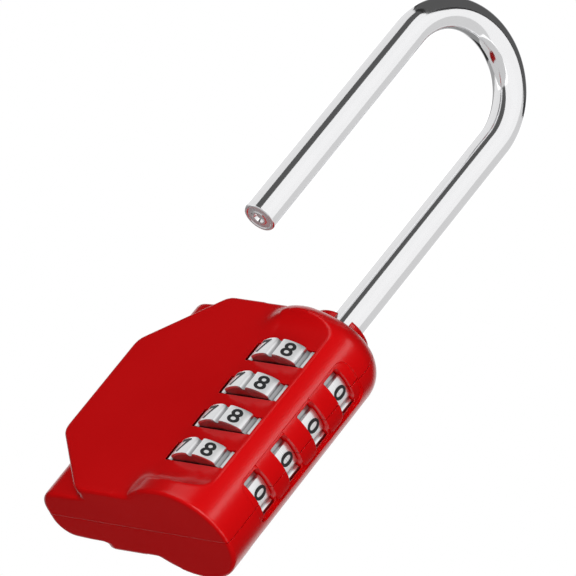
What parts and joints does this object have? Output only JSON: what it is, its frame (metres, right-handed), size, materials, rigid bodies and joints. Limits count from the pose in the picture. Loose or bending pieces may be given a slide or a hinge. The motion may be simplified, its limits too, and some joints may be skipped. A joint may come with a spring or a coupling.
{
  "type": "combination padlock",
  "caption": "Dial combination padlock with a painted metal body and a long steel shackle, standing open with the shackle turned to the front.",
  "frame": {"origin": "middle of the flat bottom face of the lock body", "axes": "+Z along the shackle legs, from the bottom face to the bend; -Y out of the front face; +X towards the dial side, where the heel of the shackle enters"},
  "size_m": [0.0428, 0.0372, 0.109],
  "materials": {
    "body_paint": "gloss red powder coat",
    "shackle_chrome": "polished chrome plate on hardened steel",
    "dial_metal": "satin silver with black filled digits",
    "zinc": "plain die-cast zinc",
    "spring_steel": "bare spring steel",
    "rivet_steel": "steel rivet painted with the body"
  },
  "bodies": {
    "lock_body": {"front_shell": "body_paint", "rear_shell": "body_paint", "rivet_1": "rivet_steel", "rivet_2": "rivet_steel", "rivet_3": "rivet_steel", "rivet_4": "rivet_steel", "detent_spring": "spring_steel", "reset_spring": "spring_steel", "reset_washer": "zinc", "shackle_spring": "spring_steel"},
    "spring_cup": {"spring_cup": "zinc"},
    "shackle": {"shackle": "shackle_chrome"},
    "dial_1": {"dial_wheel_1": "dial_metal", "clutch_sleeve_1": "zinc"},
    "dial_2": {"dial_wheel_2": "dial_metal", "clutch_sleeve_2": "zinc"},
    "dial_3": {"dial_wheel_3": "dial_metal", "clutch_sleeve_3": "zinc"},
    "dial_4": {"dial_wheel_4": "dial_metal", "clutch_sleeve_4": "zinc"}
  },
  "joints": [
    {"name": "shackle_lift", "type": "slide", "parent": "lock_body", "child": "spring_cup", "axis": [0, 0, 1], "range_m": [-0.00783, 0], "stiffness_N_per_m": 300, "springref_m": 0.006, "deforming": ["shackle_spring"]},
    {"name": "shackle_turn", "type": "hinge", "parent": "spring_cup", "child": "shackle", "pos_m": [0.01095, 0, 0], "axis": [0, 0, 1], "range_deg": [-78.4, 101.6]},
    {"name": "dial_1_turn", "type": "hinge", "parent": "lock_body", "child": "dial_1", "pos_m": [0.01095, 0, 0.01125], "axis": [0, 0, 1], "continuous": true},
    {"name": "dial_2_turn", "type": "hinge", "parent": "lock_body", "child": "dial_2", "pos_m": [0.01095, 0, 0.01908], "axis": [0, 0, 1], "continuous": true},
    {"name": "dial_3_turn", "type": "hinge", "parent": "lock_body", "child": "dial_3", "pos_m": [0.01095, 0, 0.02691], "axis": [0, 0, 1], "continuous": true},
    {"name": "dial_4_turn", "type": "hinge", "parent": "lock_body", "child": "dial_4", "pos_m": [0.01095, 0, 0.03474], "axis": [0, 0, 1], "continuous": true}
  ]
}
